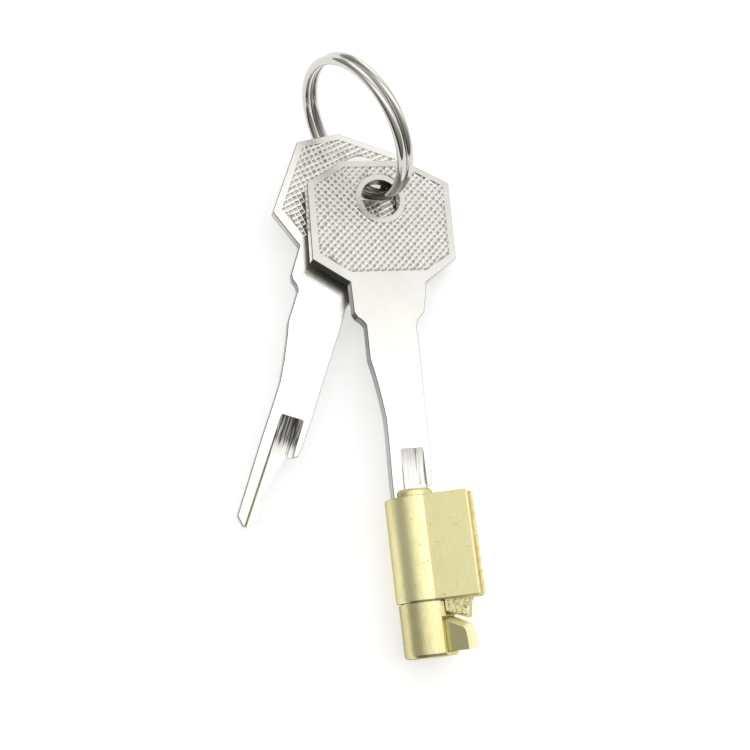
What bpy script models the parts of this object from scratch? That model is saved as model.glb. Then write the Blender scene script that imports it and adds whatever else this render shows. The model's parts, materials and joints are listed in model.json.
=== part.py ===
"""Steering lock barrel for a moped, with one key in it and a spare key on a split ring.

The lock lies on its side on a table. Its axis runs along +Y, out of the key end,
and leans up a little because the bow of the key rests on the spare key.
"""

import math

import bmesh
import bpy
from mathutils import Matrix, Vector

MM = 0.001

# ---- Driving dimensions ------------------------------------------------------

# Lock body: a round barrel with a thick fin that holds the pins.
BARREL_RADIUS = 4.7 * MM
BODY_LENGTH = 16.8 * MM
FIN_HALF_THICKNESS = 4.2 * MM
FIN_REACH = 9.25 * MM
BODY_EDGE = 0.3 * MM
BORE_RADIUS = 4.0 * MM

# Slot along the outer side of the fin, closed by the cover strip.
SLOT_HALF_WIDTH = 1.6 * MM
SLOT_FLOOR = 8.05 * MM
STRIP_HALF_WIDTH = 1.5 * MM
STRIP_BOTTOM = 8.15 * MM
STRIP_TOP = 9.85 * MM
STRIP_END_GAP = 0.15 * MM
STRIP_EDGE = 0.15 * MM
STRIP_NOTCHES = 9
STRIP_NOTCH_RADIUS = 0.45 * MM
STRIP_NOTCH_DEPTH = 0.35 * MM
STRIP_NOTCH_INSET = 0.2 * MM

# Rough wedge-shaped lug under the fin, part of the body casting. The outline is in
# millimetres: distance from the axis, and height from the tail end of the body.
LUG_HALF_THICKNESS = 2.95 * MM
LUG_TAIL_CLEARANCE = 0.12 * MM
LUG_EDGE = 0.2 * MM
LUG_HOLLOW_LOW = 6.0 * MM
LUG_HOLLOW_HIGH = 3.0 * MM
LUG_OUTLINE = (
    (3.2, 1.0), (7.6, 1.0), (7.6, -0.15), (7.2, -0.7), (7.13, -1.3), (6.85, -3.25), (3.2, -1.85),
)

# Plug: collar at the key end, long shank in the bore, thick tail behind the body.
COLLAR_RADIUS = 3.2 * MM
COLLAR_TOP = 1.3 * MM
COLLAR_EDGE = 0.45 * MM
PLUG_RADIUS = 3.9 * MM
PLUG_TOP = -0.25 * MM
TAIL_RADIUS = 4.37 * MM
TAIL_START = -17.0 * MM
TAIL_END = -25.5 * MM
TAIL_EDGE = 0.6 * MM
TAIL_EDGE_MIDDLE = 0.18 * MM
KEYWAY_HALF_WIDTH = 1.2 * MM
KEYWAY_LOW = -4.4 * MM
KEYWAY_HIGH = 1.8 * MM
KEYWAY_DEPTH = -12.9 * MM

# Groove in the plug and the pin through the body that holds the plug in.
GROOVE_RADIUS = 2.9 * MM
GROOVE_START = -13.35 * MM
GROOVE_END = -14.95 * MM
RETAINING_PIN_RADIUS = 0.7 * MM
RETAINING_PIN_HOLE_RADIUS = 0.8 * MM
RETAINING_PIN_INNER = 3.25 * MM
RETAINING_PIN_OUTER = 7.85 * MM
RETAINING_PIN_PLACE = -14.15 * MM
RETAINING_PIN_EDGE = 0.1 * MM

# Hook of the tail. Its outlines are in millimetres from the axis and from the key end of
# the body: the full outline, and the smaller front face that the sloping edges lead to.
SHOULDER_FLAT = 4.05 * MM
SHOULDER_FLAT_GAP = 0.25 * MM
HOOK_GAP = 0.1 * MM
HOOK_HALF_THICKNESS = 1.5 * MM
HOOK_SLOPE_DEPTH = 0.75 * MM
HOOK_OUTLINE = (
    (1.6, -18.6), (3.0, -19.15), (5.0, -20.0), (6.85, -20.95),
    (7.3, -21.9), (7.42, -23.1), (7.42, -24.8), (1.6, -24.8),
)
HOOK_FACE = (
    (1.6, -19.25), (3.0, -19.83), (4.9, -20.63), (6.6, -21.32),
    (6.98, -21.9), (7.13, -23.1), (7.15, -24.8), (1.6, -24.8),
)

# Seat of the hook in the tail, in the same terms: the flat, and the deeper slot.
FLAT_SEAT = ((3.6, -19.29), (9.0, -21.58), (9.0, -26.5), (3.6, -26.5))
SLOT_SEAT = ((1.5, -18.5), (3.0, -19.03), (9.0, -21.58), (9.0, -24.9), (1.5, -24.9))

# Pins and springs in the fin.
PIN_PLACES = (-2.7 * MM, -5.5 * MM, -8.3 * MM, -11.1 * MM)
CHAMBER_RADIUS = 1.1 * MM
PIN_RADIUS = 1.0 * MM
KEY_PIN_OUTER = 3.82 * MM
KEY_PIN_CLEARANCE = 0.12 * MM
KEY_PIN_TIP_RADIUS = 0.3 * MM
DRIVER_INNER = 4.1 * MM
DRIVER_OUTER = 5.7 * MM
PIN_EDGE = 0.15 * MM
SPRING_INNER = 5.85 * MM
SPRING_OUTER = 7.85 * MM
SPRING_WIRE_RADIUS = 0.12 * MM
SPRING_COIL_RADIUS = 0.8 * MM
SPRING_TURNS = 4
SPRING_POINTS_PER_TURN = 10

# Key. The outlines, the hole and the groove are in millimetres: distance from the plug's
# axis, and height above the key end of the body.
KEY_THICKNESS = 2.2 * MM
KEY_EDGE = 0.12 * MM
KEY_HOLE = (0.45, 52.0)
KEY_HOLE_RADIUS = 3.5 * MM
KEY_HOLE_RIM_RADIUS = 4.45 * MM
KEY_BOW = (
    (-6.65, 37.0), (-12.75, 41.2), (-12.3, 54.9), (-5.85, 59.0),
    (5.5, 59.1), (13.3, 54.9), (12.8, 40.8), (6.7, 36.6),
)
KEY_FIELD = (
    (-6.3, 38.8), (-11.4, 42.2), (-11.1, 54.4), (-5.5, 57.9),
    (5.2, 58.0), (12.1, 54.3), (11.7, 41.6), (7.2, 38.8),
)
KEY_RIGHT_NECK = (
    (6.3, 34.0), (5.7, 31.3), (4.3, 29.8), (4.05, 28.8), (4.05, 24.0),
    (3.9, 19.5), (3.75, 15.0), (3.7, 9.0), (3.5, 4.5), (3.2, 2.0),
)
KEY_BITTING = (
    (2.4, 1.55), (1.5, 1.5), (1.2, 1.1), (0.9, 0.1), (0.75, -0.8), (0.25, -2.0), (0.12, -2.9),
    (0.1, -3.7), (-0.2, -4.4), (-0.7, -5.1), (-0.9, -5.8), (-0.85, -6.7), (-0.4, -7.4),
    (-0.35, -8.8), (-0.4, -9.7),
)
KEY_TIP = ((-0.65, -10.65), (-1.4, -11.4), (-1.9, -11.65), (-2.45, -11.4), (-3.65, -10.15))
KEY_LEFT_NECK = (
    (-3.6, -4.0), (-3.5, 3.0), (-3.3, 9.5), (-3.25, 13.3), (-3.65, 17.0), (-4.3, 21.2),
    (-4.8, 23.5), (-4.75, 29.4), (-5.3, 30.2), (-6.1, 30.8), (-6.6, 31.7),
)
FIELD_DEPTH = 0.2 * MM
GROOVE_DEPTH = 0.55 * MM
GROOVE_OUTLINE = ((-2.15, -12.5), (2.45, -12.5), (2.45, 7.9), (2.25, 8.1), (-1.25, 8.1), (-1.5, 7.9))
KEY_CUTTER_HEIGHT = 2.0 * MM

# Split ring: two turns of wire, with one step from turn to turn.
RING_RADIUS = 12.3 * MM
RING_WIRE_RADIUS = 0.76 * MM
RING_TURN_OFFSET = 0.8 * MM
RING_POINTS_PER_TURN = 72
RING_STEP_ANGLE = math.radians(30.0)
RING_END_GAP_ANGLE = math.radians(6.0)

# ---- How the pieces lie ------------------------------------------------------

# From the middle of the body's key end to an origin below the middle of the whole object.
ORIGIN_SHIFT = Vector((7.992, -24.147, -0.008)) * MM
LOCK_PITCH = 0.026
FIN_TURN = math.radians(-9.6)
KEY_TURN = math.radians(14.9)
HOOK_TURN = math.radians(-28.0)
SPARE_HOLE_PLACE = Vector((-2.35, 56.71, 4.09)) * MM
SPARE_YAW = math.radians(-21.54)
SPARE_ROLL = math.radians(13.55)
RING_PLACE = Vector((-2.31, 62.09, 14.40)) * MM
RING_AXIS_AZIMUTH = 3.6932
RING_AXIS_ELEVATION = 0.3121
RING_SPIN = math.radians(12.0)

# How far a cutter reaches past the surfaces that it opens.
PAST = 1.0 * MM
ROUND_STEPS = 96
BARREL_STEPS = 88
SMALL_ROUND_STEPS = 20


# ---- Scene and materials -----------------------------------------------------

def clear_scene():
    """Remove every object that the start-up file brings."""
    for item in list(bpy.data.objects):
        bpy.data.objects.remove(item, do_unlink=True)


def new_collection(name):
    """Make a collection under the scene's own."""
    made = bpy.data.collections.new(name)
    bpy.context.scene.collection.children.link(made)
    return made


def metal(name, colour, roughness):
    """Make a plain metallic material."""
    made = bpy.data.materials.new(name)
    made.use_nodes = True
    shader = made.node_tree.nodes["Principled BSDF"]
    shader.inputs["Base Color"].default_value = (*colour, 1.0)
    shader.inputs["Metallic"].default_value = 1.0
    shader.inputs["Roughness"].default_value = roughness
    return made


def make_materials():
    """Make one material for each metal of the object."""
    return {
        "brass": metal("lock_brass", (0.80, 0.68, 0.36), 0.38),
        "rough_brass": metal("rough_brass", (0.74, 0.56, 0.25), 0.6),
        "nickel": metal("key_nickel", (0.72, 0.70, 0.64), 0.3),
        "steel": metal("ring_steel", (0.66, 0.65, 0.62), 0.18),
        "spring_steel": metal("spring_steel", (0.5, 0.5, 0.52), 0.3),
    }


# ---- Shape helpers -----------------------------------------------------------

def evaluated_mesh(item):
    """Return the item's mesh with modifiers applied, and remove the item."""
    graph = bpy.context.evaluated_depsgraph_get()
    graph.update()
    mesh = bpy.data.meshes.new_from_object(item.evaluated_get(graph))
    bpy.data.objects.remove(item, do_unlink=True)
    return mesh


def weld(mesh, distance=1e-6):
    """Merge the loose caps that a curve leaves."""
    shape = bmesh.new()
    shape.from_mesh(mesh)
    bmesh.ops.remove_doubles(shape, verts=shape.verts, dist=distance)
    bmesh.ops.recalc_face_normals(shape, faces=shape.faces)
    shape.to_mesh(mesh)
    shape.free()
    return mesh


def link_temporary(data):
    """Put mesh or curve data in the scene as a working object."""
    item = bpy.data.objects.new("working", data)
    bpy.context.scene.collection.objects.link(item)
    return item


def plate(outlines, thickness):
    """Return a flat plate around z = 0 from closed outlines of (x, y) points."""
    curve = bpy.data.curves.new("outline", "CURVE")
    curve.dimensions = "2D"
    curve.fill_mode = "BOTH"
    curve.extrude = thickness / 2
    for outline in outlines:
        spline = curve.splines.new("POLY")
        spline.points.add(len(outline) - 1)
        for point, (x, y) in zip(spline.points, outline):
            point.co = (x, y, 0.0, 1.0)
        spline.use_cyclic_u = True
    return weld(evaluated_mesh(link_temporary(curve)))


def upright_plate(outline, length, middle):
    """Return a plate whose outline lies across the lock's axis, around y = middle."""
    mesh = plate([outline], length)
    mesh.transform(Matrix.Translation((0, middle, 0)) @ Matrix.Rotation(math.pi / 2, 4, "X"))
    return mesh


def lofted(sections):
    """Return a closed body through outlines of (x, y, z) points, one above the other."""
    shape = bmesh.new()
    rings = [[shape.verts.new(point) for point in section] for section in sections]
    for lower, upper in zip(rings, rings[1:]):
        for number in range(len(lower)):
            after = (number + 1) % len(lower)
            shape.faces.new((lower[number], lower[after], upper[after], upper[number]))
    shape.faces.new(rings[0])
    shape.faces.new(rings[-1])
    bmesh.ops.recalc_face_normals(shape, faces=shape.faces)
    mesh = bpy.data.meshes.new("lofted")
    shape.to_mesh(mesh)
    shape.free()
    return mesh


def rod(radius, low, high, direction="Y", steps=SMALL_ROUND_STEPS, centre=(0, 0, 0)):
    """Return a round rod along X, Y or Z, from low to high on that axis."""
    turns = {
        "X": Matrix.Rotation(math.pi / 2, 4, "Y"),
        "Y": Matrix.Rotation(-math.pi / 2, 4, "X"),
        "Z": Matrix.Identity(4),
    }
    along = {"X": Vector((1, 0, 0)), "Y": Vector((0, 1, 0)), "Z": Vector((0, 0, 1))}
    place = Vector(centre) + along[direction] * (low + high) / 2
    shape = bmesh.new()
    bmesh.ops.create_cone(
        shape, cap_ends=True, segments=steps, radius1=radius, radius2=radius,
        depth=high - low, matrix=Matrix.Translation(place) @ turns[direction],
    )
    mesh = bpy.data.meshes.new("rod")
    shape.to_mesh(mesh)
    shape.free()
    return mesh


def block(low, high):
    """Return a box between two corners."""
    low, high = Vector(low), Vector(high)
    shape = bmesh.new()
    bmesh.ops.create_cube(shape, size=1.0)
    bmesh.ops.scale(shape, vec=high - low, verts=shape.verts)
    bmesh.ops.translate(shape, vec=(low + high) / 2, verts=shape.verts)
    mesh = bpy.data.meshes.new("block")
    shape.to_mesh(mesh)
    shape.free()
    return mesh


def turned(profile, steps=ROUND_STEPS):
    """Turn (radius, height) points about Z; they run from the top down the outside."""
    mesh = bpy.data.meshes.new("profile")
    points = [(radius, 0.0, height) for radius, height in profile]
    edges = [(number, number + 1) for number in range(len(points) - 1)]
    mesh.from_pydata(points, edges, [])
    item = link_temporary(mesh)
    screw = item.modifiers.new("turn", "SCREW")
    screw.steps = steps
    screw.render_steps = steps
    screw.use_merge_vertices = True
    screw.merge_threshold = 1e-6
    return weld(evaluated_mesh(item))


def bevelled(mesh, width, segments=2, limit=50.0):
    """Round the sharp edges of a mesh, once its flat faces are single faces."""
    shape = bmesh.new()
    shape.from_mesh(mesh)
    bmesh.ops.dissolve_limit(
        shape, angle_limit=math.radians(0.5), verts=shape.verts, edges=shape.edges)
    shape.to_mesh(mesh)
    shape.free()
    item = link_temporary(mesh)
    bevel = item.modifiers.new("edges", "BEVEL")
    bevel.width = width
    bevel.segments = segments
    bevel.limit_method = "ANGLE"
    bevel.angle_limit = math.radians(limit)
    return evaluated_mesh(item)


def combined(mesh, others, operation):
    """Cut the other meshes from a mesh, or join them to it."""
    item = link_temporary(mesh)
    tools = []
    for other in others:
        tool = link_temporary(other)
        tool.hide_render = True
        tool.display_type = "WIRE"
        step = item.modifiers.new("step", "BOOLEAN")
        step.operation = operation
        step.solver = "EXACT"
        step.object = tool
        tools.append(tool)
    result = evaluated_mesh(item)
    for tool in tools:
        bpy.data.objects.remove(tool, do_unlink=True)
    return weld(result)


def wire(points, radius):
    """Return a closed tube of wire through the points."""
    curve = bpy.data.curves.new("wire", "CURVE")
    curve.dimensions = "3D"
    curve.bevel_depth = radius
    curve.bevel_resolution = 2
    curve.use_fill_caps = True
    spline = curve.splines.new("POLY")
    spline.points.add(len(points) - 1)
    for point, place in zip(spline.points, points):
        point.co = (*place, 1.0)
    return weld(evaluated_mesh(link_temporary(curve)))


def scaled(points):
    """Turn a list of points in millimetres into metres."""
    return [(x * MM, y * MM) for x, y in points]


def arc(centre, radius, start, end, steps):
    """Return points on an arc, angles in degrees."""
    angles = [math.radians(start + (end - start) * k / steps) for k in range(steps + 1)]
    return [(centre[0] + radius * math.cos(a), centre[1] + radius * math.sin(a)) for a in angles]


# ---- Lock body and what is fixed to it ---------------------------------------

def body_mesh():
    """Barrel and fin in one section, with lug, bore, pin chambers and slot."""
    meeting = math.degrees(math.asin(FIN_HALF_THICKNESS / BARREL_RADIUS))
    section = arc((0, 0), BARREL_RADIUS, meeting, 360 - meeting, BARREL_STEPS)
    section += [(FIN_REACH, -FIN_HALF_THICKNESS), (FIN_REACH, FIN_HALF_THICKNESS)]
    shell = bevelled(upright_plate(section, BODY_LENGTH, -BODY_LENGTH / 2), BODY_EDGE)
    shell = combined(shell, [lug_mesh()], "UNION")
    cutters = [rod(BORE_RADIUS, -BODY_LENGTH - PAST, PAST, steps=ROUND_STEPS)]
    cutters.append(block(
        (SLOT_FLOOR, -BODY_LENGTH - PAST, -SLOT_HALF_WIDTH),
        (FIN_REACH + PAST, PAST, SLOT_HALF_WIDTH)))
    chamber_range = (BORE_RADIUS - PAST, SLOT_FLOOR + PAST)
    for place in PIN_PLACES:
        cutters.append(rod(CHAMBER_RADIUS, *chamber_range, "X", centre=(0, place, 0)))
    cutters.append(rod(
        RETAINING_PIN_HOLE_RADIUS, *chamber_range, "X", centre=(0, RETAINING_PIN_PLACE, 0)))
    return combined(shell, cutters, "DIFFERENCE")


def lug_mesh():
    """Wedge below the fin, hollowed where the tail turns past it."""
    outline = scaled(LUG_OUTLINE)
    mesh = plate([outline], 2 * LUG_HALF_THICKNESS)
    mesh.transform(Matrix.Translation((0, -BODY_LENGTH, 0)))
    mesh = bevelled(mesh, LUG_EDGE, segments=1)
    hollow = rod(
        TAIL_RADIUS + LUG_TAIL_CLEARANCE, -BODY_LENGTH - LUG_HOLLOW_LOW,
        -BODY_LENGTH + LUG_HOLLOW_HIGH, steps=ROUND_STEPS)
    return combined(mesh, [hollow], "DIFFERENCE")


def strip_mesh():
    """Cover strip of the pin chambers, notched along its outer edge by staking."""
    low = (STRIP_BOTTOM, -BODY_LENGTH + STRIP_END_GAP, -STRIP_HALF_WIDTH)
    high = (STRIP_TOP, -STRIP_END_GAP, STRIP_HALF_WIDTH)
    strip = bevelled(block(low, high), STRIP_EDGE, segments=1)
    pitch = BODY_LENGTH / STRIP_NOTCHES
    cutters = []
    for number in range(STRIP_NOTCHES - 1):
        place = -(number + 1) * pitch
        for side in (-1, 1):
            centre = (0, place + side * pitch / 4, side * (STRIP_HALF_WIDTH + STRIP_NOTCH_INSET))
            cutters.append(rod(
                STRIP_NOTCH_RADIUS, STRIP_TOP - STRIP_NOTCH_DEPTH, STRIP_TOP + PAST, "X", 8, centre))
    return combined(strip, cutters, "DIFFERENCE")


def retaining_pin_mesh():
    """Plain pin from the slot into the plug's groove."""
    pin = rod(RETAINING_PIN_RADIUS, RETAINING_PIN_INNER, RETAINING_PIN_OUTER, "X",
              centre=(0, RETAINING_PIN_PLACE, 0))
    return bevelled(pin, RETAINING_PIN_EDGE, segments=1)


def driver_mesh(place):
    """Driver pin: a short cylinder with broken edges."""
    pin = rod(PIN_RADIUS, DRIVER_INNER, DRIVER_OUTER, "X", centre=(0, place, 0))
    return bevelled(pin, PIN_EDGE, segments=1)


def spring_mesh(place):
    """Coil spring between a driver pin and the cover strip."""
    first = SPRING_INNER + SPRING_WIRE_RADIUS
    last = SPRING_OUTER - SPRING_WIRE_RADIUS
    count = SPRING_TURNS * SPRING_POINTS_PER_TURN
    points = []
    for number in range(count + 1):
        angle = 2 * math.pi * number / SPRING_POINTS_PER_TURN
        x = first + (last - first) * number / count
        y = place + SPRING_COIL_RADIUS * math.cos(angle)
        points.append((x, y, SPRING_COIL_RADIUS * math.sin(angle)))
    return wire(points, SPRING_WIRE_RADIUS)


# ---- Plug, tail and hook -----------------------------------------------------

def plug_mesh():
    """Turned plug with keyway, pin chambers, retaining groove and tail."""
    profile = [
        (0.0, COLLAR_TOP), (COLLAR_RADIUS - COLLAR_EDGE, COLLAR_TOP),
        (COLLAR_RADIUS, COLLAR_TOP - COLLAR_EDGE), (COLLAR_RADIUS, PLUG_TOP),
        (PLUG_RADIUS, PLUG_TOP), (PLUG_RADIUS, GROOVE_START),
        (GROOVE_RADIUS, GROOVE_START), (GROOVE_RADIUS, GROOVE_END),
        (PLUG_RADIUS, GROOVE_END), (PLUG_RADIUS, TAIL_START),
        (TAIL_RADIUS, TAIL_START), (TAIL_RADIUS, TAIL_END + TAIL_EDGE),
        (TAIL_RADIUS - TAIL_EDGE_MIDDLE, TAIL_END + TAIL_EDGE_MIDDLE),
        (TAIL_RADIUS - TAIL_EDGE, TAIL_END), (0.0, TAIL_END),
    ]
    mesh = turned(profile)
    mesh.transform(Matrix.Rotation(-math.pi / 2, 4, "X"))
    cutters = [block(
        (KEYWAY_LOW, KEYWAY_DEPTH, -KEYWAY_HALF_WIDTH),
        (KEYWAY_HIGH, COLLAR_TOP + PAST, KEYWAY_HALF_WIDTH))]
    for place in PIN_PLACES:
        cutters.append(rod(CHAMBER_RADIUS, 0.0, PLUG_RADIUS + PAST, "X", centre=(0, place, 0)))
    cutters += hook_seat_cutters()
    return combined(mesh, cutters, "DIFFERENCE")


def hook_seat_cutters():
    """Two flats on the tail, shallow and deep, and the slot that holds the hook."""
    turn = Matrix.Rotation(HOOK_TURN - KEY_TURN, 4, "Y")
    shallow = block(
        (SHOULDER_FLAT, TAIL_END - PAST, -2 * TAIL_RADIUS),
        (2 * TAIL_RADIUS, TAIL_START - SHOULDER_FLAT_GAP, 2 * TAIL_RADIUS))
    deep = plate([scaled(FLAT_SEAT)], 4 * TAIL_RADIUS)
    slot = plate([scaled(SLOT_SEAT)], 2 * (HOOK_HALF_THICKNESS + HOOK_GAP))
    cutters = [shallow, deep, slot]
    for mesh in cutters:
        mesh.transform(turn)
    return cutters


def hook_mesh():
    """Hook with a sloping top and a sloping edge around its front face."""
    outline = scaled(HOOK_OUTLINE)
    face = scaled(HOOK_FACE)
    top = HOOK_HALF_THICKNESS
    sections = [[(x, y, -top) for x, y in outline]]
    sections.append([(x, y, top - HOOK_SLOPE_DEPTH) for x, y in outline])
    sections.append([(x, y, top) for x, y in face])
    mesh = lofted(sections)
    mesh.transform(Matrix.Rotation(HOOK_TURN - KEY_TURN, 4, "Y"))
    return mesh


def bitting_at(height):
    """Distance of the key's cut edge from the axis at a height, in millimetres."""
    edge = KEY_BITTING + KEY_TIP[:1]
    for (high_x, high_y), (low_x, low_y) in zip(edge, edge[1:]):
        if low_y <= height <= high_y:
            part = (height - low_y) / (high_y - low_y)
            return low_x + part * (high_x - low_x)
    return edge[0][0] if height > edge[0][1] else edge[-1][0]


def key_pin_tip(place):
    """Lowest point for a key pin's tip that the key clears as it slides out."""
    steps = 60
    highest = -math.inf
    start = (place + KEY_PIN_TIP_RADIUS) / MM
    for number in range(steps + 1):
        height = start + (KEY_TIP[0][1] - start) * number / steps
        highest = max(highest, bitting_at(height))
    return highest * MM + KEY_PIN_CLEARANCE


def key_pin_mesh(place):
    """Key pin: a cylinder with a cone towards the key."""
    tip = key_pin_tip(place)
    shoulder = tip + (PIN_RADIUS - KEY_PIN_TIP_RADIUS)
    profile = [
        (0.0, KEY_PIN_OUTER), (PIN_RADIUS - PIN_EDGE, KEY_PIN_OUTER),
        (PIN_RADIUS, KEY_PIN_OUTER - PIN_EDGE), (PIN_RADIUS, shoulder),
        (KEY_PIN_TIP_RADIUS, tip), (0.0, tip),
    ]
    mesh = turned(profile, SMALL_ROUND_STEPS)
    mesh.transform(Matrix.Translation((0, place, 0)) @ Matrix.Rotation(math.pi / 2, 4, "Y"))
    return mesh


# ---- Keys and ring -----------------------------------------------------------

def from_hole(points):
    """Turn key points into metres, counted from the middle of the bow's hole."""
    return scaled([(x - KEY_HOLE[0], y - KEY_HOLE[1]) for x, y in points])


def key_mesh():
    """Flat key with a sunk field in each face of the bow and a long groove in the blade."""
    outline = from_hole(KEY_BOW + KEY_RIGHT_NECK + KEY_BITTING + KEY_TIP + KEY_LEFT_NECK)
    mesh = bevelled(plate([outline], KEY_THICKNESS), KEY_EDGE, segments=1, limit=70.0)
    cutters = [rod(KEY_HOLE_RADIUS, -KEY_THICKNESS, KEY_THICKNESS, "Z", ROUND_STEPS // 2)]
    rim = arc((0, 0), KEY_HOLE_RIM_RADIUS, 0, 360, 32)[:-1]
    for side in (-1, 1):
        field = plate([from_hole(KEY_FIELD), rim], KEY_CUTTER_HEIGHT)
        height = (KEY_THICKNESS + KEY_CUTTER_HEIGHT) / 2 - FIELD_DEPTH
        field.transform(Matrix.Translation((0, 0, side * height)))
        cutters.append(field)
    cutters.append(blade_groove_mesh())
    return combined(mesh, cutters, "DIFFERENCE")


def blade_groove_mesh():
    """Milled step along the cut side of the blade, ending in a pocket above the shoulder."""
    mesh = plate([from_hole(GROOVE_OUTLINE)], KEY_CUTTER_HEIGHT)
    height = (KEY_THICKNESS + KEY_CUTTER_HEIGHT) / 2 - GROOVE_DEPTH
    mesh.transform(Matrix.Translation((0, 0, height)))
    return mesh


def ring_mesh():
    """Split ring: the wire steps from the first turn up to the second one."""
    last = 4 * math.pi - RING_STEP_ANGLE - RING_END_GAP_ANGLE
    count = 2 * RING_POINTS_PER_TURN
    points = []
    for number in range(count + 1):
        angle = last * number / count
        part = min(max((angle - 2 * math.pi + RING_STEP_ANGLE) / RING_STEP_ANGLE, 0.0), 1.0)
        rise = part * part * (3 - 2 * part)
        height = RING_TURN_OFFSET * (2 * rise - 1)
        points.append((RING_RADIUS * math.cos(angle), RING_RADIUS * math.sin(angle), height))
    return wire(points, RING_WIRE_RADIUS)


# ---- Assembly ----------------------------------------------------------------

def empty(name, collection, parent=None, matrix=None):
    """Add an empty that carries pieces."""
    made = bpy.data.objects.new(name, None)
    made.empty_display_size = 5 * MM
    collection.objects.link(made)
    made.parent = parent
    made.matrix_local = matrix if matrix is not None else Matrix.Identity(4)
    return made


def piece(name, mesh, material, collection, parent, matrix=None):
    """Add one piece of the object."""
    mesh.name = name
    mesh.materials.clear()
    mesh.materials.append(material)
    mesh.shade_smooth()
    mesh.set_sharp_from_angle(angle=math.radians(30))
    made = bpy.data.objects.new(name, mesh)
    collection.objects.link(made)
    made.parent = parent
    made.matrix_local = matrix if matrix is not None else Matrix.Identity(4)
    return made


def build_lock(collection, materials):
    """Build the body, plug, pins, springs and the key in the plug."""
    nose_height = BARREL_RADIUS * math.cos(LOCK_PITCH) + BODY_LENGTH * math.sin(LOCK_PITCH)
    place = Matrix.Translation(ORIGIN_SHIFT + Vector((0, 0, nose_height)))
    lock = empty("lock_axis", collection, None, place @ Matrix.Rotation(LOCK_PITCH, 4, "X"))
    body = empty("body_frame", collection, lock, Matrix.Rotation(FIN_TURN, 4, "Y"))
    plug = empty("plug_frame", collection, lock, Matrix.Rotation(KEY_TURN, 4, "Y"))
    brass = materials["brass"]
    piece("lock_body", body_mesh(), brass, collection, body)
    piece("chamber_cover_strip", strip_mesh(), materials["rough_brass"], collection, body)
    piece("plug_retaining_pin", retaining_pin_mesh(), materials["spring_steel"], collection, body)
    piece("plug", plug_mesh(), brass, collection, plug)
    piece("locking_hook", hook_mesh(), brass, collection, plug)
    for number, spot in enumerate(PIN_PLACES, 1):
        piece(f"driver_pin_{number}", driver_mesh(spot), brass, collection, body)
        piece(f"pin_spring_{number}", spring_mesh(spot), materials["spring_steel"], collection, body)
        piece(f"key_pin_{number}", key_pin_mesh(spot), brass, collection, plug)
    return plug


def build_keys(collection, materials, plug):
    """Build the key in the plug, the spare key and the split ring."""
    mesh = key_mesh()
    hole = Matrix.Translation((KEY_HOLE[0] * MM, KEY_HOLE[1] * MM, 0))
    piece("key_in_lock", mesh, materials["nickel"], collection, plug, hole)
    spare_turn = Matrix.Rotation(SPARE_YAW, 4, "Z") @ Matrix.Rotation(SPARE_ROLL, 4, "Y")
    spare_place = Matrix.Translation(ORIGIN_SHIFT + SPARE_HOLE_PLACE) @ spare_turn
    piece("spare_key", mesh.copy(), materials["nickel"], collection, None, spare_place)
    axis_turn = Matrix.Rotation(RING_AXIS_AZIMUTH, 4, "Z")
    axis_turn @= Matrix.Rotation(math.pi / 2 - RING_AXIS_ELEVATION, 4, "Y")
    ring_place = Matrix.Translation(ORIGIN_SHIFT + RING_PLACE) @ axis_turn
    ring_place @= Matrix.Rotation(RING_SPIN, 4, "Z")
    piece("split_ring", ring_mesh(), materials["steel"], collection, None, ring_place)


def main():
    """Build the whole object."""
    clear_scene()
    parts = new_collection("steering_lock_with_keys")
    materials = make_materials()
    plug = build_lock(parts, materials)
    build_keys(parts, materials, plug)


main()
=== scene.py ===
"""Looks of the brass lock barrel with its two keys and split ring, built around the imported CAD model."""
import json
import math

import bmesh
import bpy
from mathutils import Matrix, Vector, noise


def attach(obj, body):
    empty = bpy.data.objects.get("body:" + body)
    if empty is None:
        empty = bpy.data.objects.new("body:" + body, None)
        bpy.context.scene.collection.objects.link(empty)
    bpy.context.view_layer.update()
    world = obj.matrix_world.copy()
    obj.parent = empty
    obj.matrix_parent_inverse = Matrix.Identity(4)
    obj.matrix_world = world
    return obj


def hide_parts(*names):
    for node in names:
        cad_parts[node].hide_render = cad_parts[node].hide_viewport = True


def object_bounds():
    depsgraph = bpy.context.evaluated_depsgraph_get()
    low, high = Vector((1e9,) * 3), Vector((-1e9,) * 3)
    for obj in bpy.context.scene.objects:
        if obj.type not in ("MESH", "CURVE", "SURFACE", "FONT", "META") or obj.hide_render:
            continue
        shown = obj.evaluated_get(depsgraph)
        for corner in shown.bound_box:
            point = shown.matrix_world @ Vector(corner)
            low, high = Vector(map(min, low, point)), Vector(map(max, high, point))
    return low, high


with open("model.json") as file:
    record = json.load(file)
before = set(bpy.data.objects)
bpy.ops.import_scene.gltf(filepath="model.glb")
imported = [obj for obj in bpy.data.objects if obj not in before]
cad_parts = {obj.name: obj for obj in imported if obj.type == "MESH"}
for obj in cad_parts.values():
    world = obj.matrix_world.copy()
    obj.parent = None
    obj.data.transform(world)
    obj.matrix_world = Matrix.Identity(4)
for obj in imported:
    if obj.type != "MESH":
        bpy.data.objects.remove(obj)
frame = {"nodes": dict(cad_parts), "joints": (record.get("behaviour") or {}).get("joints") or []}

MM = 0.001


def plain_box(bounds):
    """Turn a box into plain lists of numbers."""
    return [[float(number) for number in corner] for corner in bounds]


CAD_BOX = plain_box(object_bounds())

# ---- Places, read from the frame ---------------------------------------------

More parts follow.
